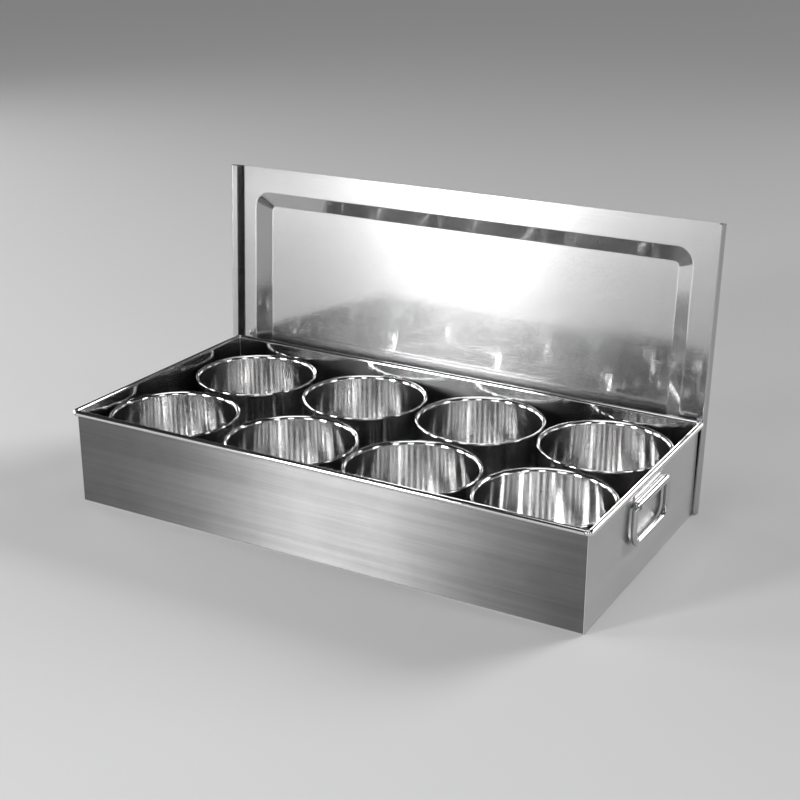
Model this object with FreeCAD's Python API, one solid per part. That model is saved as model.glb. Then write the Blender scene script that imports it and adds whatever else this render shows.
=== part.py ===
import FreeCAD, Part
import math
import os

from FreeCAD import Vector

# Condiment box in stainless sheet: an open tray of two rows of loose cups, a drop handle at
# each end, and a pressed lid that slides over the end rims, shown stood up behind the tray.
# Millimetres. X runs along the row of cups, Y to the back, Z up. The origin is the middle of
# the tray's floor, on the surface that it stands on.

# Cups: drawn in one piece, with a flared mouth whose edge is curled under
cup_columns = 4
cup_rows = ("front", "back")
cup_bore = 108.0
cup_height = 74.2
cup_sheet = 0.6
cup_corner_radius = 7.0
cup_rim_width = 3.5
cup_curl_radius = 1.0
cup_flare_degrees = 70
cup_curl_degrees = -60
cup_gap_along = 4.0
cup_gap_across = 7.4
cup_end_gap = 3.2
cup_side_gap = 1.5
cup_shift_shares = ((-0.5, 0.8, 0.45, 0.0), (0.1, 0.6, 0.5, 0.1))

# Tray: a folded U with welded end panels, all four top edges rolled outwards
# and turned round the corners
tray_sheet = 0.8
tray_fold_radius = 2.0
rim_curl_radius = 2.6
rim_curl_gap = 0.3
rim_turn_radius = 0.8
panel_edge_radius = 0.6
rim_above_cups = 12.0

# Drop handles: a closed wire loop, held by a strap that is rolled round its top bar
bail_wire_radius = 2.5
bail_drop = 33.0
bail_top_bend = 4.0
bail_low_bend = 11.0
bail_running_fit = 0.08
strap_sheet = 1.0
strap_length = 63.0
strap_rim_gap = 4.3
strap_axis_drop = 8.0
strap_seam_gap = 0.2
strap_end_gap = 0.5

# Lid: flat border, pressed panel, and side edges curled into runners for the end rims
lid_sheet = 0.7
lid_end_overlap = 2.6
lid_side_clearance = 4.0
lid_runner_clearance = 0.6
lid_lip_wall_gap = 1.0
lid_side_border = 25.5
lid_end_border = 23.0
lid_step_width = 15.5
lid_panel_depth = 8.0
lid_border_bend = 3.0
lid_panel_bend = 2.5
lid_step_corner = 15.5
lid_panel_corner = 5.0
lid_bend_steps = 4
lid_stand_gap = 0.5
lid_stand_offset = 4.7

# Cup layout, and the tray that follows from it
cup_bore_radius = cup_bore / 2
cup_rim_radius = cup_bore_radius + cup_rim_width
cup_rim_diameter = 2 * cup_rim_radius
cup_pitch_along = cup_rim_diameter + cup_gap_along
cup_pitch_across = cup_rim_diameter + cup_gap_across
inner_length = cup_pitch_along * (cup_columns - 1) + cup_rim_diameter + 2 * cup_end_gap
inner_depth = cup_pitch_across * (len(cup_rows) - 1) + cup_rim_diameter + 2 * cup_side_gap
inner_x = inner_length / 2
inner_y = inner_depth / 2
wall_x = inner_x + tray_sheet
wall_y = inner_y + tray_sheet
rim_height = tray_sheet + cup_height + rim_above_cups
rim_axis_z = rim_height - rim_curl_radius
rim_x = inner_x + 2 * rim_curl_radius
rim_y = inner_y + 2 * rim_curl_radius
rim_turn_x = inner_x - rim_turn_radius
rim_turn_y = inner_y - rim_turn_radius

# Handle layout on the right-hand end
strap_bore_radius = bail_wire_radius + bail_running_fit
strap_roll_radius = strap_bore_radius + strap_sheet
strap_top_z = rim_height - 2 * rim_curl_radius - strap_rim_gap
bail_axis_x = wall_x + strap_roll_radius
bail_axis_z = strap_top_z - strap_axis_drop
bail_leg_y = strap_length / 2 + strap_end_gap + bail_top_bend

# Lid layout in its own plane: X along it, Y from its lower edge, Z out of its inner face
lid_half_width = rim_x + lid_side_clearance + lid_sheet
lid_length = 2 * (rim_y + lid_end_overlap)
runner_bore_radius = rim_curl_radius + lid_runner_clearance / 2
runner_radius = runner_bore_radius + lid_sheet
runner_x = lid_half_width - runner_radius
runner_lip_x = wall_x + lid_lip_wall_gap
runner_depth = 2 * runner_bore_radius
step_half_width = lid_half_width - lid_side_border
step_half_length = lid_length / 2 - lid_end_border
lid_lean = math.atan2(rim_y - wall_y, rim_axis_z)


def ring_point(centre, radius, degrees):
    """A point on a circle in a section plane, counted from the first axis."""
    angle = math.radians(degrees)
    return (centre[0] + radius * math.cos(angle), centre[1] + radius * math.sin(angle))


def section_face(place, *steps):
    """A face bounded by steps: a point joins on by a line, a (via, end) pair by an arc."""
    edges = []
    start = place(*steps[0])
    here = start
    for step in steps[1:]:
        if isinstance(step[0], tuple):
            via = place(*step[0])
            there = place(*step[1])
            edges.append(Part.Arc(here, via, there).toShape())
        else:
            there = place(*step)
            edges.append(Part.LineSegment(here, there).toShape())
        here = there
    if here.distanceToPoint(start) > Part.Precision.confusion():
        edges.append(Part.LineSegment(here, start).toShape())
    return Part.Face(Part.Wire(edges))


def in_xy(x, y):
    return Vector(x, y, 0)


def in_xz(x, z):
    return Vector(x, 0, z)


def in_yz(y, z):
    return Vector(0, y, z)


def curl_section(place, axis, radius, sheet, gap):
    """A sheet edge that leaves its wall upwards and rolls outwards until it nears the wall."""
    bore = radius - sheet
    end = -math.degrees(math.acos((sheet + gap - radius) / radius))
    middle = (180 + end) / 2
    return section_face(
        place,
        ring_point(axis, bore, 180),
        (ring_point(axis, bore, middle), ring_point(axis, bore, end)),
        ring_point(axis, radius, end),
        (ring_point(axis, radius, middle), ring_point(axis, radius, 180)),
    )


def rim_elbow():
    """A quarter turn of the rolled edge, where the end rim meets the back rim."""
    axis = (rim_turn_radius + rim_curl_radius, rim_axis_z)
    section = curl_section(in_xz, axis, rim_curl_radius, tray_sheet, rim_curl_gap)
    elbow = section.revolve(Vector(0, 0, 0), Vector(0, 0, 1), 90)
    elbow.translate(Vector(rim_turn_x, rim_turn_y, 0))
    return elbow


def mirrored(shape, normal):
    return shape.mirror(Vector(0, 0, 0), normal)


def tray_body():
    """Floor, front and back in one folded sheet, with the long rims rolled."""
    bend_y = wall_y - tray_fold_radius
    bend_z = tray_fold_radius
    centre = (bend_y, bend_z)
    left = (-bend_y, bend_z)
    fold_bore = tray_fold_radius - tray_sheet
    trough = section_face(
        in_yz,
        (-wall_y, rim_axis_z),
        (-wall_y, bend_z),
        (ring_point(left, tray_fold_radius, 225), (-bend_y, 0)),
        (bend_y, 0),
        (ring_point(centre, tray_fold_radius, 315), (wall_y, bend_z)),
        (wall_y, rim_axis_z),
        (inner_y, rim_axis_z),
        (inner_y, bend_z),
        (ring_point(centre, fold_bore, 315), (bend_y, tray_sheet)),
        (-bend_y, tray_sheet),
        (ring_point(left, fold_bore, 225), (-inner_y, bend_z)),
        (-inner_y, rim_axis_z),
    )
    shell = trough.extrude(Vector(inner_length, 0, 0))
    shell.translate(Vector(-inner_x, 0, 0))
    axis = (inner_y + rim_curl_radius, rim_axis_z)
    section = curl_section(in_yz, axis, rim_curl_radius, tray_sheet, rim_curl_gap)
    rim = section.extrude(Vector(2 * rim_turn_x, 0, 0))
    rim.translate(Vector(-rim_turn_x, 0, 0))
    return shell.multiFuse([rim, mirrored(rim, Vector(0, 1, 0))]).removeSplitter()


def is_ground(edge):
    """True for the outer edges of the end wall's plate, apart from its top edge."""
    box = edge.BoundBox
    return box.XMin > (inner_x + wall_x) / 2 and box.ZMin < rim_axis_z / 2


def end_panel():
    """The right-hand end wall, its outer edge ground round, with a rim that turns both corners."""
    bend_y = wall_y - tray_fold_radius
    outline = section_face(
        in_yz,
        (-wall_y, rim_axis_z),
        (-wall_y, tray_fold_radius),
        (ring_point((-bend_y, tray_fold_radius), tray_fold_radius, 225), (-bend_y, 0)),
        (bend_y, 0),
        (ring_point((bend_y, tray_fold_radius), tray_fold_radius, 315), (wall_y, tray_fold_radius)),
        (wall_y, rim_axis_z),
    )
    plate = outline.extrude(Vector(tray_sheet, 0, 0))
    plate.translate(Vector(inner_x, 0, 0))
    ground = [edge for edge in plate.Edges if is_ground(edge)]
    plate = plate.makeFillet(panel_edge_radius, ground)
    axis = (inner_x + rim_curl_radius, rim_axis_z)
    section = curl_section(in_xz, axis, rim_curl_radius, tray_sheet, rim_curl_gap)
    rim = section.extrude(Vector(0, 2 * rim_turn_y, 0))
    rim.translate(Vector(0, -rim_turn_y, 0))
    elbow = rim_elbow()
    return plate.multiFuse([rim, elbow, mirrored(elbow, Vector(0, 1, 0))]).removeSplitter()


def handle_strap():
    """A flange on the end wall whose lower edge is rolled round the handle's top bar."""
    axis = (bail_axis_x, bail_axis_z)
    flange_x = wall_x + strap_sheet
    reach = strap_bore_radius - strap_seam_gap
    end = math.degrees(math.acos(-reach / strap_roll_radius))
    middle = (180 + 360 + end) / 2
    section = section_face(
        in_xz,
        (wall_x, strap_top_z),
        (wall_x, bail_axis_z),
        (ring_point(axis, strap_roll_radius, middle), ring_point(axis, strap_roll_radius, end)),
        ring_point(axis, strap_bore_radius, end),
        (ring_point(axis, strap_bore_radius, middle), ring_point(axis, strap_bore_radius, 180)),
        (flange_x, strap_top_z),
    )
    strap = section.extrude(Vector(0, strap_length, 0))
    strap.translate(Vector(0, -strap_length / 2, 0))
    return strap


def bail_handle():
    """A round wire bent into a closed loop, hanging straight down from its top bar."""
    low_z = bail_axis_z - bail_drop
    top = bail_top_bend
    low = bail_low_bend
    y = bail_leg_y

    def at(y_place, z_place):
        return Vector(bail_axis_x, y_place, z_place)

    def corner(y_centre, z_centre, radius, degrees):
        angles = (degrees, degrees + 45, degrees + 90)
        return [at(*ring_point((y_centre, z_centre), radius, a)) for a in angles]

    corners = (
        corner(y - top, bail_axis_z - top, top, 0),
        corner(top - y, bail_axis_z - top, top, 90),
        corner(low - y, low_z + low, low, 180),
        corner(y - low, low_z + low, low, 270),
    )
    middle = at(0, bail_axis_z)
    edges = [Part.LineSegment(middle, corners[1][0]).toShape()]
    for this, after in ((1, 2), (2, 3), (3, 0)):
        edges.append(Part.Arc(*corners[this]).toShape())
        edges.append(Part.LineSegment(corners[this][2], corners[after][0]).toShape())
    edges.append(Part.Arc(*corners[0]).toShape())
    edges.append(Part.LineSegment(corners[0][2], middle).toShape())
    circle = Part.Circle(middle, Vector(0, 1, 0), bail_wire_radius)
    return Part.Wire(edges).makePipeShell([Part.Wire(circle.toShape())], True, False)


def cup():
    """A drawn cup on the Z axis, standing on zero."""
    outer = cup_bore_radius + cup_sheet
    bend = outer - cup_corner_radius
    bend_bore = cup_corner_radius - cup_sheet
    lean = math.cos(math.radians(cup_flare_degrees))
    flare = (cup_rim_width - cup_curl_radius * (1 + lean)) / (1 - lean)
    join = 180 - cup_flare_degrees
    half_flare = 180 - cup_flare_degrees / 2
    half_curl = (join + cup_curl_degrees) / 2
    offset = ring_point((0, 0), flare - cup_curl_radius, join)
    flare_axis = (cup_bore_radius + flare, cup_height - cup_curl_radius - offset[1])
    curl_axis = (flare_axis[0] + offset[0], flare_axis[1] + offset[1])
    flare_under = flare - cup_sheet
    curl_under = cup_curl_radius - cup_sheet
    profile = section_face(
        in_xz,
        (0, 0),
        (bend, 0),
        (ring_point((bend, cup_corner_radius), cup_corner_radius, 315), (outer, cup_corner_radius)),
        (outer, flare_axis[1]),
        (ring_point(flare_axis, flare_under, half_flare), ring_point(flare_axis, flare_under, join)),
        (ring_point(curl_axis, curl_under, half_curl), ring_point(curl_axis, curl_under, cup_curl_degrees)),
        ring_point(curl_axis, cup_curl_radius, cup_curl_degrees),
        (ring_point(curl_axis, cup_curl_radius, half_curl), ring_point(curl_axis, cup_curl_radius, join)),
        (ring_point(flare_axis, flare, half_flare), (cup_bore_radius, flare_axis[1])),
        (cup_bore_radius, cup_corner_radius),
        (ring_point((bend, cup_corner_radius), bend_bore, 315), (bend, cup_sheet)),
        (0, cup_sheet),
    )
    return profile.revolve(Vector(0, 0, 0), Vector(0, 0, 1), 360)


def step_curve():
    """Inset and depth down the pressed step: (inner face, outer face) pairs, border to panel."""
    radius = lid_border_bend + lid_panel_bend
    rise = lid_panel_depth - radius
    slope = math.atan2(rise, lid_step_width) + math.asin(radius / math.hypot(lid_step_width, rise))
    outer_border = lid_border_bend - lid_sheet
    outer_panel = lid_panel_bend + lid_sheet
    panel_axis = lid_panel_depth - lid_panel_bend
    curve = []
    for step in range(lid_bend_steps + 1):
        sine = math.sin(slope * step / lid_bend_steps)
        cosine = math.cos(slope * step / lid_bend_steps)
        inner = (lid_border_bend * sine, lid_border_bend * (1 - cosine))
        outer = (outer_border * sine, lid_border_bend - outer_border * cosine)
        curve.append((inner, outer))
    for step in range(lid_bend_steps, -1, -1):
        sine = math.sin(slope * step / lid_bend_steps)
        cosine = math.cos(slope * step / lid_bend_steps)
        inner = (lid_step_width - lid_panel_bend * sine, panel_axis + lid_panel_bend * cosine)
        outer = (lid_step_width - outer_panel * sine, panel_axis + outer_panel * cosine)
        curve.append((inner, outer))
    return curve


def panel_outline(inset, depth):
    """The step's rounded outline at one level of the pressing."""
    x = step_half_width - inset
    y = step_half_length - inset
    radius = lid_step_corner - (lid_step_corner - lid_panel_corner) * inset / lid_step_width
    middle_y = lid_length / 2
    edges = []
    signs = ((1, 1, 0), (-1, 1, 90), (-1, -1, 180), (1, -1, 270))
    arcs = []
    for sign_x, sign_y, start in signs:
        centre = (sign_x * (x - radius), middle_y + sign_y * (y - radius))
        angles = (start, start + 45, start + 90)
        arcs.append([Vector(*ring_point(centre, radius, a), -depth) for a in angles])
    for number, arc in enumerate(arcs):
        after = arcs[(number + 1) % len(arcs)]
        edges.append(Part.Arc(*arc).toShape())
        edges.append(Part.LineSegment(arc[2], after[0]).toShape())
    return Part.Wire(edges)


def lid():
    """The pressed lid, built in its own plane and stood up behind the tray."""
    axis = (runner_x, runner_bore_radius)
    mirror = (-runner_x, runner_bore_radius)
    lip = runner_depth + lid_sheet
    section = section_face(
        in_xz,
        (-runner_x, -lid_sheet),
        (runner_x, -lid_sheet),
        (ring_point(axis, runner_radius, 0), (runner_x, lip)),
        (runner_lip_x, lip),
        (runner_lip_x, runner_depth),
        (runner_x, runner_depth),
        (ring_point(axis, runner_bore_radius, 0), (runner_x, 0)),
        (-runner_x, 0),
        (ring_point(mirror, runner_bore_radius, 180), (-runner_x, runner_depth)),
        (-runner_lip_x, runner_depth),
        (-runner_lip_x, lip),
        (-runner_x, lip),
        (ring_point(mirror, runner_radius, 180), (-runner_x, -lid_sheet)),
    )
    sheet = section.extrude(Vector(0, lid_length, 0))
    curve = step_curve()
    pressed = Part.makeLoft([panel_outline(*outer) for inner, outer in curve], True, True)
    hollow = Part.makeLoft([panel_outline(*inner) for inner, outer in curve], True, True)
    shape = sheet.fuse(pressed).cut(hollow).removeSplitter()
    return stood(shape, lip)


def stood(shape, lip):
    """Stand the lid on its long edge, set back against the tray's foot and its back rim alike."""
    sine = math.sin(lid_lean)
    cosine = math.cos(lid_lean)
    foot_z = lid_sheet * sine
    height_up = (rim_axis_z - foot_z - lip * sine) / cosine
    lip_y = rim_y - rim_curl_radius + (rim_curl_radius + lid_stand_gap) / cosine
    foot_y = lip_y - height_up * sine + lip * cosine
    place = Vector(-lid_stand_offset, foot_y, foot_z)
    turn = FreeCAD.Rotation(Vector(1, 0, 0), 90 - math.degrees(lid_lean))
    shape.Placement = FreeCAD.Placement(place, turn)
    return shape


def build():
    nodes = {"tray_body": tray_body(), "lid": lid()}
    for name, shape in (
        ("end_panel", end_panel()),
        ("handle_strap", handle_strap()),
        ("bail_handle", bail_handle()),
    ):
        nodes[name + "_right"] = shape
        nodes[name + "_left"] = mirrored(shape, Vector(1, 0, 0))
    first_x = -cup_pitch_along * (cup_columns - 1) / 2
    first_y = -cup_pitch_across * (len(cup_rows) - 1) / 2
    for row, row_name in enumerate(cup_rows):
        for column in range(cup_columns):
            shape = cup()
            x = first_x + cup_pitch_along * column + cup_gap_along * cup_shift_shares[row][column]
            y = first_y + cup_pitch_across * row
            shape.translate(Vector(x, y, tray_sheet))
            nodes[f"cup_{row_name}_{column + 1}"] = shape
    return nodes


os.makedirs("parts", exist_ok=True)
for node, solid in build().items():
    solid.exportStep(f"parts/{node}.step")
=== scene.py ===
import math

import bpy
import numpy as np
from mathutils import Matrix, Vector


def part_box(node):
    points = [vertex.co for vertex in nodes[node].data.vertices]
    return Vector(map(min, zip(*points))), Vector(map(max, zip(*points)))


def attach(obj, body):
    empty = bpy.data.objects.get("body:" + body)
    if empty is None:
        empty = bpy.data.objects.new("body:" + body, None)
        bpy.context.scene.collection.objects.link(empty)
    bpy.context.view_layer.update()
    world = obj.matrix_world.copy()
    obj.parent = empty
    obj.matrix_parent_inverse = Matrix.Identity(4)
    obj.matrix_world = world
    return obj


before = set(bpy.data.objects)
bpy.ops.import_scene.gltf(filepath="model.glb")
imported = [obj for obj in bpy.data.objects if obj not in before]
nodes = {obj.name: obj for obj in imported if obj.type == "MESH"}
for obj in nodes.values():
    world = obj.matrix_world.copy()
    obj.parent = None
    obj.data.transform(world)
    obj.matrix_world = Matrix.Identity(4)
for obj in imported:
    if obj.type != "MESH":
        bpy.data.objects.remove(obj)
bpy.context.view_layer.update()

# Sizes of the part that the welds and the finishes follow, in metres
MM = 0.001
TRAY_INNER_X = 239.2 * MM
TRAY_INNER_Y = 120.2 * MM
TRAY_WALL_X = 240.0 * MM
TRAY_WALL_Y = 121.0 * MM
TRAY_SHEET = 0.8 * MM
RIM_TURN_X = 238.4 * MM
RIM_RADIUS = 2.6 * MM
RIM_AXIS_Z = 84.4 * MM
STRAP_TOP_Z = 77.5 * MM
STRAP_LENGTH = 63.0 * MM
STRAP_SHEET = 1.0 * MM
CUP_BORE_RADIUS = 54.0 * MM
CUP_SHEET = 0.6 * MM
CUP_CORNER = 7.0 * MM
CUP_TOP_Z = 75.0 * MM
CUP_RIM_WIDTH = 3.5 * MM
CUP_CURL = 1.0 * MM
CUP_FLARE_TURN = math.radians(70.0)
X_AXIS = 0
Y_AXIS = 1
Z_AXIS = 2
ENDS = (("left", -1.0), ("right", 1.0))
SIDES = (("front", -1.0), ("back", 1.0))

# Nodes of the part by their finish
PANEL_NODES = ("end_panel_left", "end_panel_right")
HANDLE_NODES = ("handle_strap_left", "handle_strap_right", "bail_handle_left", "bail_handle_right")
CUP_NODES = [f"cup_{row}_{column}" for row in ("front", "back") for column in (1, 2, 3, 4)]

# Camera, as fitted to the tray's corners and the cups' rims
VIEW_AZIMUTH = math.radians(29.6337)
VIEW_ELEVATION = math.radians(20.5538)
VIEW_ROLL = math.radians(0.1072)
VIEW_DISTANCE = 1.2444
VIEW_ACROSS = 0.0130997
VIEW_UP = 0.0480381
VIEW_TARGET = Vector((0.0, 0.0, 0.05))
VIEW_LENS = 64.25
SENSOR = 36.0


def place_camera():
    """Looks from a distance along the view's back axis, with its right and up axes rolled."""
    cos_el = math.cos(VIEW_ELEVATION)
    back = Vector((
        math.sin(VIEW_AZIMUTH) * cos_el,
        -math.cos(VIEW_AZIMUTH) * cos_el,
        math.sin(VIEW_ELEVATION),
    ))
    level = Vector((math.cos(VIEW_AZIMUTH), math.sin(VIEW_AZIMUTH), 0.0))
    upright = back.cross(level)
    right = math.cos(VIEW_ROLL) * level + math.sin(VIEW_ROLL) * upright
    up = math.cos(VIEW_ROLL) * upright - math.sin(VIEW_ROLL) * level
    place = VIEW_TARGET + back * VIEW_DISTANCE + right * VIEW_ACROSS + up * VIEW_UP
    data = bpy.data.cameras.new("view")
    data.sensor_width = SENSOR
    data.lens = VIEW_LENS
    camera = bpy.data.objects.new("view", data)
    turn = Matrix((right, up, back)).transposed().to_4x4()
    camera.matrix_world = Matrix.Translation(place) @ turn
    bpy.context.scene.collection.objects.link(camera)
    bpy.context.scene.camera = camera


# Soft boxes: name, azimuth from the front, elevation, distance, width, height, brightness
SOFT_BOXES = (
    ("band", -27.5, 12.0, 2.6, 0.42, 0.9, 34.0),
    ("low_left", -60.0, 12.0, 2.6, 0.55, 0.9, 14.0),
    ("left", -82.0, 12.0, 2.6, 0.55, 0.9, 9.0),
    ("far_left", -106.0, 18.0, 2.6, 0.6, 1.2, 3.4),
    ("front_panel", -22.0, 8.0, 2.0, 1.3, 0.45, 0.4),
    ("front", 0.0, 15.0, 2.6, 0.6, 1.2, 4.0),
    ("front_right", 32.0, 20.0, 2.6, 0.4, 1.2, 3.0),
    ("near_right", 58.0, 20.0, 2.6, 0.4, 1.2, 3.0),
    ("right", 95.0, 18.0, 2.6, 0.4, 1.2, 4.0),
    ("back_right", 157.0, 12.0, 2.6, 0.6, 0.9, 2.5),
    ("overhead", 20.0, 84.0, 2.0, 1.3, 0.8, 2.2),
)
LAMP_TARGET = Vector((0.0, 0.0, 0.08))
KEY_AZIMUTH = 150.0
KEY_ELEVATION = 28.0
KEY_STRENGTH = 1.9
KEY_SPREAD = math.radians(24.0)
HORIZON_GREY = (0.12, 0.12, 0.125, 1.0)
ZENITH_GREY = (0.03, 0.03, 0.032, 1.0)
ZENITH_RISE = 0.6


def lamp_direction(azimuth, elevation):
    """The way from the tray to a lamp: azimuth from the front to the right, then elevation."""
    turn = math.radians(azimuth)
    rise = math.radians(elevation)
    return Vector((math.sin(turn) * math.cos(rise), -math.cos(turn) * math.cos(rise), math.sin(rise)))


def hang_key():
    """A broad far lamp from behind that lights the whole floor evenly."""
    data = bpy.data.lights.new("key", "SUN")
    data.energy = KEY_STRENGTH
    data.angle = KEY_SPREAD
    lamp = bpy.data.objects.new("key", data)
    lamp.rotation_euler = lamp_direction(KEY_AZIMUTH, KEY_ELEVATION).to_track_quat("Z", "Y").to_euler()
    bpy.context.scene.collection.objects.link(lamp)


def hang_lamps():
    """Each soft box stands at its azimuth, elevation and distance and faces the tray."""
    for name, azimuth, elevation, distance, width, height, brightness in SOFT_BOXES:
        away = lamp_direction(azimuth, elevation)
        data = bpy.data.lights.new(name, "AREA")
        data.shape = "RECTANGLE"
        data.size = width
        data.size_y = height
        data.energy = math.pi * width * height * brightness
        lamp = bpy.data.objects.new(name, data)
        lamp.location = LAMP_TARGET + away * distance
        lamp.rotation_euler = away.to_track_quat("Z", "Y").to_euler()
        lamp.visible_camera = False
        bpy.context.scene.collection.objects.link(lamp)


FLOAT = "NodeSocketFloat"
VECTOR = "NodeSocketVector"
# Places of a Mix node's two inputs and its output, by the kind of value that it mixes
MIX_SOCKETS = {"FLOAT": (2, 3, 0), "VECTOR": (4, 5, 1), "RGBA": (6, 7, 2)}
MIDDLE = 0.5


class Nodes:
    """Short calls for laying out one node tree."""

    def __init__(self, tree):
        self.tree = tree

    def add(self, kind, settings=(), **inputs):
        """One node, with its settings and with its inputs set or linked by name."""
        node = self.tree.nodes.new(kind)
        for key, value in dict(settings).items():
            setattr(node, key, value)
        for key, value in inputs.items():
            self.feed(node.inputs[key.replace("_", " ")], value)
        return node

    def feed(self, socket, value):
        """Links a socket to another one, or sets it to a plain value."""
        if isinstance(value, bpy.types.NodeSocket):
            self.tree.links.new(value, socket)
        else:
            socket.default_value = value

    def math(self, operation, first, second=0.0, third=0.0):
        node = self.add("ShaderNodeMath", {"operation": operation})
        for socket, value in zip(node.inputs, (first, second, third)):
            self.feed(socket, value)
        return node.outputs[0]

    def plus(self, base, value, amount):
        """The base plus an amount times a value."""
        return self.math("MULTIPLY_ADD", value, amount, base)

    def about(self, base, value, amount):
        """The base plus an amount times how far a value lies from its middle."""
        return self.plus(base, self.math("SUBTRACT", value, MIDDLE), amount)

    def vector(self, operation, first, second=None):
        node = self.add("ShaderNodeVectorMath", {"operation": operation})
        self.feed(node.inputs[0], first)
        if second is not None:
            self.feed(node.inputs["Scale" if operation == "SCALE" else 1], second)
        return node.outputs["Value" if operation == "LENGTH" else "Vector"]

    def split(self, vector):
        return self.add("ShaderNodeSeparateXYZ", Vector=vector).outputs

    def join(self, x, y, z):
        return self.add("ShaderNodeCombineXYZ", X=x, Y=y, Z=z).outputs[0]

    def mix(self, kind, mask, first, second):
        """The first value where the mask is nought, and the second where it is one."""
        node = self.add("ShaderNodeMix", {"data_type": kind})
        start, end, result = MIX_SOCKETS[kind]
        for place, value in ((0, mask), (start, first), (end, second)):
            self.feed(node.inputs[place], value)
        return node.outputs[result]

    def span(self, value, low, high, start=0.0, end=1.0, smooth=False):
        """Carries value from the span low to high over to the span start to end, held at both."""
        kind = "SMOOTHSTEP" if smooth else "LINEAR"
        node = self.add("ShaderNodeMapRange", {"interpolation_type": kind})
        for socket, item in zip(node.inputs, (value, low, high, start, end)):
            self.feed(socket, item)
        return node.outputs[0]

    def past(self, value, edge, soft):
        """Nought below the edge and one above it, over a soft step."""
        return self.span(value, edge - soft, edge + soft, smooth=True)

    def stretch(self, vector, scale=(1.0, 1.0, 1.0), shift=(0.0, 0.0, 0.0)):
        return self.add("ShaderNodeMapping", Vector=vector, Scale=scale, Location=shift).outputs[0]

    def noise(self, vector, scale, detail, rough):
        node = self.add("ShaderNodeTexNoise", Vector=vector, Scale=scale, Detail=detail, Roughness=rough)
        return node.outputs[0]

    def grey(self, value):
        node = self.add("ShaderNodeCombineColor")
        for socket in node.inputs:
            self.feed(socket, value)
        return node.outputs[0]

    def group(self, tree, **inputs):
        """A shared effect, with its inputs set or linked by name."""
        return self.add("ShaderNodeGroup", {"node_tree": tree}, **inputs).outputs


def new_group(name, inputs, outputs):
    """An empty shader node group with named float or vector sockets, and its two ends."""
    tree = bpy.data.node_groups.new(name, "ShaderNodeTree")
    for label, kind in inputs:
        tree.interface.new_socket(label, in_out="INPUT", socket_type=kind)
    for label, kind in outputs:
        tree.interface.new_socket(label, in_out="OUTPUT", socket_type=kind)
    start = tree.nodes.new("NodeGroupInput")
    end = tree.nodes.new("NodeGroupOutput")
    return Nodes(tree), start.outputs, end.inputs


FINE_SHARE = 0.65
LINE_LOW = 0.3
LINE_HIGH = 0.7


def brushed_lines_group():
    """Lines left by a belt: noise drawn out along one axis, fine ones over broad ones."""
    n, inputs, outputs = new_group(
        "brushed_lines",
        (("Vector", VECTOR), ("Fine", FLOAT), ("Broad", FLOAT)),
        (("Lines", FLOAT), ("Bands", FLOAT)),
    )
    fine = n.noise(inputs["Vector"], inputs["Fine"], detail=4.0, rough=0.7)
    broad = n.noise(inputs["Vector"], inputs["Broad"], detail=3.0, rough=0.6)
    lines = n.plus(n.math("MULTIPLY", broad, 1.0 - FINE_SHARE), fine, FINE_SHARE)
    n.feed(outputs["Lines"], n.span(lines, LINE_LOW, LINE_HIGH))
    n.feed(outputs["Bands"], n.span(broad, LINE_LOW, LINE_HIGH, smooth=True))
    return n.tree


CLOUD_LOW = 0.35
CLOUD_HIGH = 0.68
SCRATCH_LOW = 0.70
SCRATCH_HIGH = 0.76
RISING_STRETCH = (1.0, 9.0, 12.0)
FALLING_STRETCH = (11.0, 8.0, 1.2)
FALLING_SHIFT = (3.1, 1.7, 0.4)


def handling_marks_group():
    """Wear from use: soft wiped clouds, and sparse hairline scratches in two directions."""
    n, inputs, outputs = new_group(
        "handling_marks",
        (("Vector", VECTOR), ("Cloud scale", FLOAT), ("Scratch scale", FLOAT)),
        (("Clouds", FLOAT), ("Scratches", FLOAT)),
    )
    cloud = n.noise(inputs["Vector"], inputs["Cloud scale"], detail=5.0, rough=0.6)
    n.feed(outputs["Clouds"], n.span(cloud, CLOUD_LOW, CLOUD_HIGH, smooth=True))
    rising = n.stretch(inputs["Vector"], RISING_STRETCH)
    falling = n.stretch(inputs["Vector"], FALLING_STRETCH, FALLING_SHIFT)
    first = n.noise(rising, inputs["Scratch scale"], detail=2.0, rough=0.5)
    second = n.noise(falling, inputs["Scratch scale"], detail=2.0, rough=0.5)
    longest = n.math("MAXIMUM", first, second)
    n.feed(outputs["Scratches"], n.span(longest, SCRATCH_LOW, SCRATCH_HIGH))
    return n.tree


FROM_PIECE = {"vector_type": "NORMAL", "convert_from": "OBJECT", "convert_to": "WORLD"}


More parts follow.
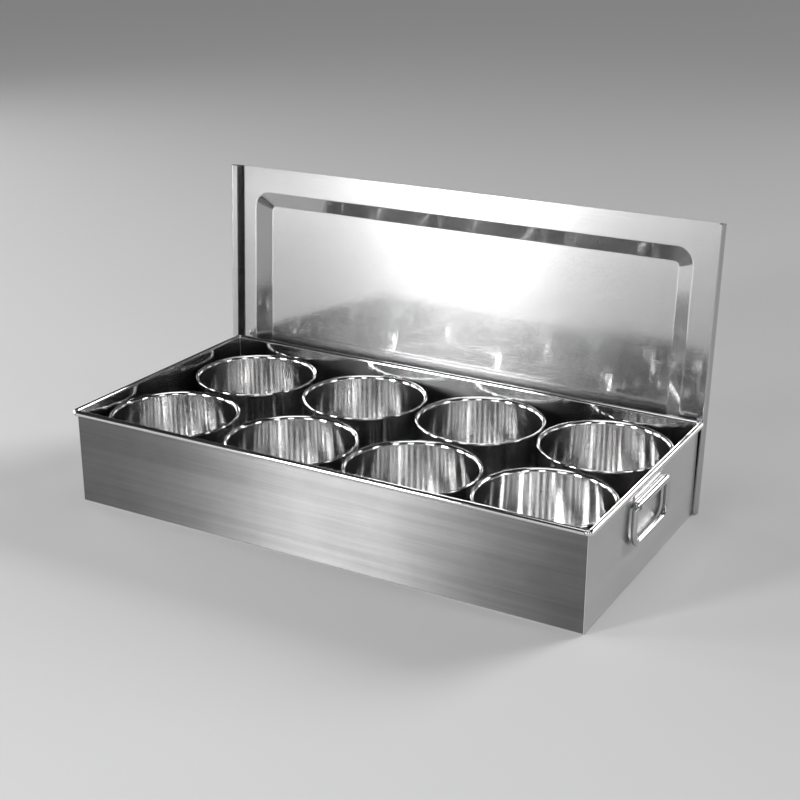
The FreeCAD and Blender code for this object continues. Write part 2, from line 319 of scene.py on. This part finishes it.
def turned_normal_group():
    """The true normal of a turned cup: away from, or towards, the middle of the bend it is on.

    In the cup's section, the bottom, its corner and the wall turn round one point at the corner,
    the flare round a point outside the wall, and the curl round a point under the rim. The side
    of the sheet that a point is on tells which way its normal goes.
    """
    n, inputs, outputs = new_group("turned_normal", (("Vector", VECTOR),), (("Normal", VECTOR),))
    x, y, z = n.split(inputs["Vector"])
    flat = n.join(x, y, 0.0)
    radius = n.vector("LENGTH", flat)
    out = n.vector("NORMALIZE", flat)
    lean = math.cos(CUP_FLARE_TURN)
    flare = (CUP_RIM_WIDTH - CUP_CURL * (1 + lean)) / (1 - lean)
    turn = math.pi - CUP_FLARE_TURN
    curl_z = CUP_TOP_Z - CUP_CURL
    flare_r = CUP_BORE_RADIUS + flare
    flare_z = curl_z - (flare - CUP_CURL) * math.sin(turn)
    curl_r = flare_r + (flare - CUP_CURL) * math.cos(turn)
    bend_r = CUP_BORE_RADIUS + CUP_SHEET - CUP_CORNER
    bend_z = TRAY_SHEET + CUP_CORNER

    def away(across, rise, outer_radius):
        """The way from a bend's middle, turned towards the open side of the sheet."""
        way = n.vector("ADD", n.vector("SCALE", out, across), n.join(0.0, 0.0, rise))
        outer = n.math("GREATER_THAN", n.vector("LENGTH", way), outer_radius - CUP_SHEET / 2)
        return n.vector("SCALE", way, n.plus(-1.0, outer, 2.0))

    low_r = n.math("MAXIMUM", n.math("SUBTRACT", radius, bend_r), 0.0)
    low_z = n.math("MINIMUM", n.math("SUBTRACT", z, bend_z), 0.0)
    from_flare_r = n.math("SUBTRACT", radius, flare_r)
    from_flare_z = n.math("SUBTRACT", z, flare_z)
    from_curl_r = n.math("SUBTRACT", radius, curl_r)
    from_curl_z = n.math("SUBTRACT", z, curl_z)
    past_flare = n.plus(n.math("MULTIPLY", from_flare_z, -math.cos(turn)), from_flare_r, math.sin(turn))
    in_flare = n.math("GREATER_THAN", from_flare_z, 0.0)
    in_curl = n.math("MULTIPLY", in_flare, n.math("GREATER_THAN", past_flare, 0.0))
    below = away(low_r, low_z, CUP_CORNER)
    normal = n.mix("VECTOR", in_flare, below, away(from_flare_r, from_flare_z, flare))
    normal = n.mix("VECTOR", in_curl, normal, away(from_curl_r, from_curl_z, CUP_CURL))
    turned = n.add("ShaderNodeVectorTransform", FROM_PIECE, Vector=normal)
    n.feed(outputs["Normal"], turned.outputs[0])
    return n.tree


BRUSHED_LINES = brushed_lines_group()
HANDLING_MARKS = handling_marks_group()
TURNED_NORMAL = turned_normal_group()


def new_material(name):
    """An empty material, its node tree, its shader and its object coordinates."""
    material = bpy.data.materials.new(name)
    material.use_nodes = True
    n = Nodes(material.node_tree)
    shader = material.node_tree.nodes["Principled BSDF"].inputs
    place = n.add("ShaderNodeTexCoord").outputs["Object"]
    return material, n, shader, place


def new_steel(name, anisotropic):
    """A bare metal, whose grain is as one-sided as the anisotropic value says."""
    material, n, shader, place = new_material(name)
    shader["Metallic"].default_value = 1.0
    shader["Anisotropic"].default_value = anisotropic
    return material, n, shader, place


def bump(n, shader, height, strength, depth):
    node = n.add("ShaderNodeBump", Strength=strength, Distance=depth, Height=height)
    n.feed(shader["Normal"], node.outputs[0])


# Walls of the tray: where the brushed face, the rim and the seams lie, and how much each mark changes them
LINE_STRETCH = (14.0, 1000.0, 1000.0)
END_LINE_STRETCH = (1000.0, 14.0, 1000.0)
LEVEL_GRAIN = (0.0, 0.05, 1.0)
WALL_GRAIN = 1.0
# The tray body's outside tone lies far below the steel's own: painted shade that stands in for the dark
# surroundings its walls mirror.
BODY_PAINTED_SHADE_TONE = 0.20
BODY_SATIN = 0.38
PANEL_TONE = 0.49
PANEL_SATIN = 0.22
BRIGHT_TONE = 0.76
BRIGHT_ROUGH = 0.09
BRIGHT_CLOUD_ROUGH = 0.04
FACE_SINK = 0.3 * TRAY_SHEET
FACE_SOFT = 0.15 * TRAY_SHEET
RIM_FOOT_Z = RIM_AXIS_Z - 2.2 * MM
RIM_FOOT_SOFT = 0.3 * MM
SEAM_NEAR = 0.1 * MM
SEAM_FAR = 0.6 * MM
SEAM_DARK = 0.6
WALL_LINE_TONE = 0.05
WALL_BAND_TONE = 0.015
WALL_CLOUD_TONE = -0.03
WALL_LINE_ROUGH = 0.03
WALL_SCRATCH_ROUGH = 0.03
WALL_LINE_BUMP = 0.05
LINE_DEPTH = 0.02 * MM


def sheet_steel(name, tone, satin, line_stretch, outward, face):
    """Sheet brushed level outside in the given tone, bright inside and on the rolled rim, and dark at the
    seams; for the tray body that outside tone is painted shade.

    The outside is where the distance from the middle along the outward axis passes the face.
    """
    material, n, shader, place = new_steel(name, WALL_GRAIN)
    axes = n.split(place)
    outside = n.past(n.math("ABSOLUTE", axes[outward]), face - FACE_SINK, FACE_SOFT)
    rim = n.past(axes[Z_AXIS], RIM_FOOT_Z, RIM_FOOT_SOFT)
    brushed = n.math("MULTIPLY", outside, n.math("SUBTRACT", 1.0, rim))
    drawn = n.group(BRUSHED_LINES, Vector=n.stretch(place, line_stretch), Fine=1.0, Broad=0.16)
    marks = n.group(HANDLING_MARKS, Vector=place, Cloud_scale=11.0, Scratch_scale=55.0)
    from_seam = n.math("ABSOLUTE", n.math("SUBTRACT", n.math("ABSOLUTE", axes[X_AXIS]), TRAY_INNER_X))
    seam = n.math("MULTIPLY", brushed, n.span(from_seam, SEAM_NEAR, SEAM_FAR, 1.0, 0.0, smooth=True))
    colour = n.about(tone, drawn["Lines"], WALL_LINE_TONE)
    colour = n.about(colour, drawn["Bands"], WALL_BAND_TONE)
    colour = n.plus(colour, marks["Clouds"], WALL_CLOUD_TONE)
    colour = n.plus(colour, n.math("SUBTRACT", 1.0, brushed), BRIGHT_TONE - tone)
    colour = n.math("MULTIPLY", colour, n.plus(1.0, seam, -SEAM_DARK))
    n.feed(shader["Base Color"], n.grey(colour))
    bright = n.plus(BRIGHT_ROUGH, marks["Clouds"], BRIGHT_CLOUD_ROUGH)
    belted = n.plus(satin, drawn["Lines"], WALL_LINE_ROUGH)
    rough = n.mix("FLOAT", brushed, bright, belted)
    n.feed(shader["Roughness"], n.plus(rough, marks["Scratches"], WALL_SCRATCH_ROUGH))
    n.feed(shader["Tangent"], n.join(*LEVEL_GRAIN))
    bump(n, shader, n.math("MULTIPLY", drawn["Lines"], brushed), WALL_LINE_BUMP, LINE_DEPTH)
    return material


# Lid: part of its very fine grain mirrors and part of it is hazy
LID_GRAIN = 0.93
LID_TONE = 0.50
LID_LINE_TONE = 0.03
LID_CLOUD_TONE = -0.02
LID_CLOUD_ROUGH = 0.02
SATIN_SCALE = 5200.0
SATIN_LOW = 0.52
SATIN_HIGH = 0.60
MIRROR_ROUGH = 0.07
HAZE_ROUGH = 0.36


def lid_steel():
    """Satin-polished sheet: a fine grain of mirror and haze, level lines and wiped clouds."""
    material, n, shader, place = new_steel("lid_sheet_steel", LID_GRAIN)
    drawn = n.group(BRUSHED_LINES, Vector=n.stretch(place, LINE_STRETCH), Fine=1.2, Broad=0.1)
    marks = n.group(HANDLING_MARKS, Vector=place, Cloud_scale=7.0)
    tone = n.about(LID_TONE, drawn["Lines"], LID_LINE_TONE)
    n.feed(shader["Base Color"], n.grey(n.plus(tone, marks["Clouds"], LID_CLOUD_TONE)))
    satin = n.noise(place, SATIN_SCALE, detail=2.0, rough=0.6)
    haze = n.span(satin, SATIN_LOW, SATIN_HIGH, MIRROR_ROUGH, HAZE_ROUGH)
    n.feed(shader["Roughness"], n.plus(haze, marks["Clouds"], LID_CLOUD_ROUGH))
    n.feed(shader["Tangent"], n.join(*LEVEL_GRAIN))
    return material


HANDLE_GRAIN = 0.3
HANDLE_TONE = 0.55
HANDLE_LINE_TONE = 0.08
HANDLE_CLOUD_TONE = -0.04
HANDLE_ROUGH = 0.08
HANDLE_LINE_ROUGH = 0.12
HANDLE_CLOUD_ROUGH = 0.06
HANDLE_LINE_BUMP = 0.10


def handle_steel():
    """Polished wire and strap: bright, with drawing lines along the bar and rubbed patches."""
    material, n, shader, place = new_steel("handle_bright_steel", HANDLE_GRAIN)
    drawn = n.group(BRUSHED_LINES, Vector=n.stretch(place, END_LINE_STRETCH), Fine=1.4, Broad=0.3)
    marks = n.group(HANDLING_MARKS, Vector=place, Cloud_scale=60.0)
    tone = n.about(HANDLE_TONE, drawn["Lines"], HANDLE_LINE_TONE)
    n.feed(shader["Base Color"], n.grey(n.plus(tone, marks["Clouds"], HANDLE_CLOUD_TONE)))
    rough = n.plus(HANDLE_ROUGH, drawn["Lines"], HANDLE_LINE_ROUGH)
    n.feed(shader["Roughness"], n.plus(rough, marks["Clouds"], HANDLE_CLOUD_ROUGH))
    bump(n, shader, drawn["Lines"], HANDLE_LINE_BUMP, LINE_DEPTH)
    return material


CUP_GRAIN = 0.9
CUP_GRAIN_RISE = 0.5 * CUP_BORE_RADIUS
CUP_TONE = 0.88
CUP_RING_TONE = 0.02
CUP_STREAK_TONE = 0.08
CUP_ROUGH = 0.11
CUP_BAND_ROUGH = 0.02
CUP_CLOUD_ROUGH = 0.02
STREAK_SCALE = 5.0


def cup_steel(cup):
    """Drawn and spun cup: polishing rings round its own axis, streaks down its wall."""
    material, n, shader, place = new_steel(f"{cup}_polished_steel", CUP_GRAIN)
    low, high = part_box(cup)
    middle = (low + high) / 2
    local = n.stretch(place, shift=(-middle.x, -middle.y, 0.0))
    x, y, z = n.split(local)
    flat = n.join(x, y, 0.0)
    rings = n.join(n.vector("LENGTH", flat), 0.0, z)
    spun = n.group(BRUSHED_LINES, Vector=rings, Fine=1500.0, Broad=260.0)
    streak = n.noise(n.vector("NORMALIZE", flat), STREAK_SCALE, detail=4.0, rough=0.6)
    marks = n.group(HANDLING_MARKS, Vector=place, Cloud_scale=22.0)
    tone = n.about(CUP_TONE, spun["Lines"], CUP_RING_TONE)
    n.feed(shader["Base Color"], n.grey(n.about(tone, streak, CUP_STREAK_TONE)))
    rough = n.plus(CUP_ROUGH, spun["Bands"], CUP_BAND_ROUGH)
    n.feed(shader["Roughness"], n.plus(rough, marks["Clouds"], CUP_CLOUD_ROUGH))
    n.feed(shader["Tangent"], n.join(x, y, CUP_GRAIN_RISE))
    n.feed(shader["Normal"], n.group(TURNED_NORMAL, Vector=local)["Normal"])
    return material


WELD_TONE = 0.20
WELD_CLOUD_TONE = 0.18
WELD_ROUGH = 0.26
WELD_CLOUD_ROUGH = 0.12
WELD_BUMP = 0.2
WELD_DEPTH = 0.1 * MM


def weld_steel():
    """Weld metal: duller than the sheet, and mottled."""
    material, n, shader, place = new_steel("weld_bead_steel", 0.0)
    marks = n.group(HANDLING_MARKS, Vector=place, Cloud_scale=420.0)
    n.feed(shader["Base Color"], n.grey(n.plus(WELD_TONE, marks["Clouds"], WELD_CLOUD_TONE)))
    n.feed(shader["Roughness"], n.plus(WELD_ROUGH, marks["Clouds"], WELD_CLOUD_ROUGH))
    bump(n, shader, marks["Clouds"], WELD_BUMP, WELD_DEPTH)
    return material


FLOOR_HALF = 12.0
FLOOR_TONE = 0.66
FLOOR_CLOUD_TONE = 0.02
FLOOR_CLOUD_SCALE = 0.9
FLOOR_ROUGH = 0.7
FLOOR_SHINE = 0.2


def floor_paint():
    """Pale studio floor with a very faint cloud in its tone."""
    material, n, shader, place = new_material("studio_floor")
    shader["Roughness"].default_value = FLOOR_ROUGH
    shader["Specular IOR Level"].default_value = FLOOR_SHINE
    cloud = n.noise(place, FLOOR_CLOUD_SCALE, detail=2.0, rough=0.5)
    n.feed(shader["Base Color"], n.grey(n.about(FLOOR_TONE, cloud, FLOOR_CLOUD_TONE)))
    return material


SMOOTH_ANGLE = math.radians(32.0)
JOIN_GAP = 0.002 * MM
FACE_WEIGHT = 50


def smooth(mesh):
    mesh.polygons.foreach_set("use_smooth", np.ones(len(mesh.polygons), dtype=bool))


def finish_node(name, material):
    """Joins the loose triangles, keeps the true edges sharp, and gives the finish."""
    node = nodes[name]
    smooth(node.data)
    join = node.modifiers.new("join", "WELD")
    join.merge_threshold = JOIN_GAP
    edges = node.modifiers.new("edges", "EDGE_SPLIT")
    edges.split_angle = SMOOTH_ANGLE
    faces = node.modifiers.new("faces", "WEIGHTED_NORMAL")
    faces.mode = "FACE_AREA"
    faces.weight = FACE_WEIGHT
    node.data.materials.clear()
    node.data.materials.append(material)


BEAD_SIDES = 12
BEAD_STEP = 0.22 * MM
RIPPLE_SWELL = 0.14
RIPPLE_LAG = 0.35
TAPER_POWER = 16


def bead(name, path, side, rise, thick, pitch, material):
    """A weld bead: a round section carried along a path, with ripples and tapered ends.

    Each point is the path's point plus thick times (cosine of the turn on the side axis and
    sine of the turn on the rise axis), where thick swells with a sine of the distance run and
    goes to nothing at both ends, which one point closes.
    """
    steps = np.linalg.norm(np.diff(path, axis=0), axis=1)
    run = np.concatenate(([0.0], np.cumsum(steps)))
    around = np.linspace(0.0, 2 * np.pi, BEAD_SIDES, endpoint=False)
    cosine = np.cos(around)[None, :]
    sine = np.sin(around)[None, :]
    lag = run[:, None] + RIPPLE_LAG * thick * cosine
    swell = 1.0 + RIPPLE_SWELL * np.sin(2 * np.pi * lag / pitch)
    taper = np.sqrt(np.clip(1.0 - (2.0 * run / run[-1] - 1.0) ** TAPER_POWER, 0.0, 1.0))
    radius = thick * swell * taper[:, None]
    ring = cosine[:, :, None] * side[:, None, :] + sine[:, :, None] * rise[:, None, :]
    grid = path[:, None, :] + radius[:, :, None] * ring
    rows = len(path) - 2
    points = np.concatenate((grid[1:-1].reshape(-1, 3), path[:1], path[-1:]))
    index = np.arange(rows * BEAD_SIDES).reshape(rows, BEAD_SIDES)
    after = np.roll(index, -1, axis=1)
    quads = np.stack((index[:-1], after[:-1], after[1:], index[1:]), axis=-1).reshape(-1, 4)
    first = np.stack((np.full(BEAD_SIDES, rows * BEAD_SIDES), after[0], index[0]), axis=-1)
    last = np.stack((np.full(BEAD_SIDES, rows * BEAD_SIDES + 1), index[-1], after[-1]), axis=-1)
    mesh = bpy.data.meshes.new(name)
    mesh.from_pydata(points.tolist(), [], quads.tolist() + first.tolist() + last.tolist())
    smooth(mesh)
    mesh.materials.append(material)
    piece = bpy.data.objects.new(name, mesh)
    bpy.context.scene.collection.objects.link(piece)
    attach(piece, "tray")


ALONG_X = (1.0, 0.0, 0.0)
ALONG_Y = (0.0, 1.0, 0.0)
ALONG_Z = (0.0, 0.0, 1.0)


def same(axis, path):
    """One axis, repeated for each point of a path."""
    return np.tile(np.asarray(axis, dtype=float), (len(path), 1))


def straight_bead(name, start, end, side, rise, thick, pitch, material):
    """A bead on the line from start to end, whose points are the shares between the two."""
    count = int(np.linalg.norm(np.subtract(end, start)) / BEAD_STEP) + 2
    share = np.linspace(0.0, 1.0, count)[:, None]
    path = np.asarray(start) * (1.0 - share) + np.asarray(end) * share
    bead(name, path, same(side, path), same(rise, path), thick, pitch, material)


RIM_WELD_START = math.radians(165.0)
RIM_WELD_END = math.radians(-70.0)
RIM_WELD_STEPS = 48
RIM_WELD_THICK = 0.55 * MM
RIM_WELD_SINK = 0.35 * MM
RIM_WELD_PITCH = 1.1 * MM
STRAP_WELD_THICK = 0.55 * MM
STRAP_WELD_PITCH = 1.3 * MM
STRAP_WELD_X = TRAY_WALL_X + 0.3 * STRAP_SHEET
CORNER_WELD_THICK = 0.4 * MM
CORNER_WELD_PITCH = 1.4 * MM
CORNER_WELD_LOW = 2.4 * MM
CORNER_WELD_HIGH = 82.0 * MM
FOOT_WELD_Y = 117.0 * MM


def rim_weld(name, x_sign, y_sign, material):
    """A bead over the rolled rim at one corner: an arc round the rim's axis, from inside to outside."""
    turn = np.linspace(RIM_WELD_START, RIM_WELD_END, RIM_WELD_STEPS)
    out = np.stack((np.zeros_like(turn), y_sign * np.cos(turn), np.sin(turn)), axis=1)
    centre = np.array((x_sign * RIM_TURN_X, y_sign * (TRAY_INNER_Y + RIM_RADIUS), RIM_AXIS_Z))
    path = centre + (RIM_RADIUS - RIM_WELD_SINK) * out
    across = same((-x_sign * y_sign, 0.0, 0.0), path)
    bead(name, path, across, out, RIM_WELD_THICK, RIM_WELD_PITCH, material)


def make_welds(material):
    """Beads over the rolled rim's corners, along the straps, and in the tray's inside corners."""
    for end, x_sign in ENDS:
        inner_x = x_sign * TRAY_INNER_X
        for side, y_sign in SIDES:
            rim_weld(f"rim_weld_{side}_{end}", x_sign, y_sign, material)
            straight_bead(
                f"corner_weld_{side}_{end}",
                (inner_x, y_sign * TRAY_INNER_Y, CORNER_WELD_LOW),
                (inner_x, y_sign * TRAY_INNER_Y, CORNER_WELD_HIGH),
                ALONG_X, ALONG_Y, CORNER_WELD_THICK, CORNER_WELD_PITCH, material,
            )
        straight_bead(
            f"strap_weld_{end}",
            (x_sign * STRAP_WELD_X, -STRAP_LENGTH / 2, STRAP_TOP_Z),
            (x_sign * STRAP_WELD_X, STRAP_LENGTH / 2, STRAP_TOP_Z),
            ALONG_Z, ALONG_X, STRAP_WELD_THICK, STRAP_WELD_PITCH, material,
        )
        straight_bead(
            f"foot_weld_{end}",
            (inner_x, -FOOT_WELD_Y, TRAY_SHEET),
            (inner_x, FOOT_WELD_Y, TRAY_SHEET),
            ALONG_Z, ALONG_X, CORNER_WELD_THICK, CORNER_WELD_PITCH, material,
        )


def lay_floor():
    """A level sheet that reaches far past the view on all sides."""
    h = FLOOR_HALF
    mesh = bpy.data.meshes.new("floor")
    mesh.from_pydata([(-h, -h, 0.0), (h, -h, 0.0), (h, h, 0.0), (-h, h, 0.0)], [], [(0, 1, 2, 3)])
    mesh.materials.append(floor_paint())
    floor = bpy.data.objects.new("floor", mesh)
    bpy.context.scene.collection.objects.link(floor)


def light_world():
    """Studio air: grey at the level of the horizon, darker overhead."""
    world = bpy.data.worlds.new("studio")
    world.use_nodes = True
    n = Nodes(world.node_tree)
    height = n.split(n.add("ShaderNodeTexCoord").outputs["Generated"])[Z_AXIS]
    rise = n.span(height, 0.0, ZENITH_RISE, smooth=True)
    background = world.node_tree.nodes["Background"]
    n.feed(background.inputs["Color"], n.mix("RGBA", rise, HORIZON_GREY, ZENITH_GREY))
    bpy.context.scene.world = world


place_camera()
hang_key()
hang_lamps()
light_world()
lay_floor()
# The tray body's dark outside tone is painted shade, darker than the end panels' tone of the same steel.
body_finish = sheet_steel("tray_body_steel", BODY_PAINTED_SHADE_TONE, BODY_SATIN, LINE_STRETCH, Y_AXIS, TRAY_WALL_Y)
panel_finish = sheet_steel("end_panel_steel", PANEL_TONE, PANEL_SATIN, END_LINE_STRETCH, X_AXIS, TRAY_WALL_X)
handle_finish = handle_steel()
finish_node("tray_body", body_finish)
for panel_node in PANEL_NODES:
    finish_node(panel_node, panel_finish)
for handle_node in HANDLE_NODES:
    finish_node(handle_node, handle_finish)
for cup_node in CUP_NODES:
    finish_node(cup_node, cup_steel(cup_node))
finish_node("lid", lid_steel())
make_welds(weld_steel())

bpy.context.scene.view_settings.view_transform = "Standard"
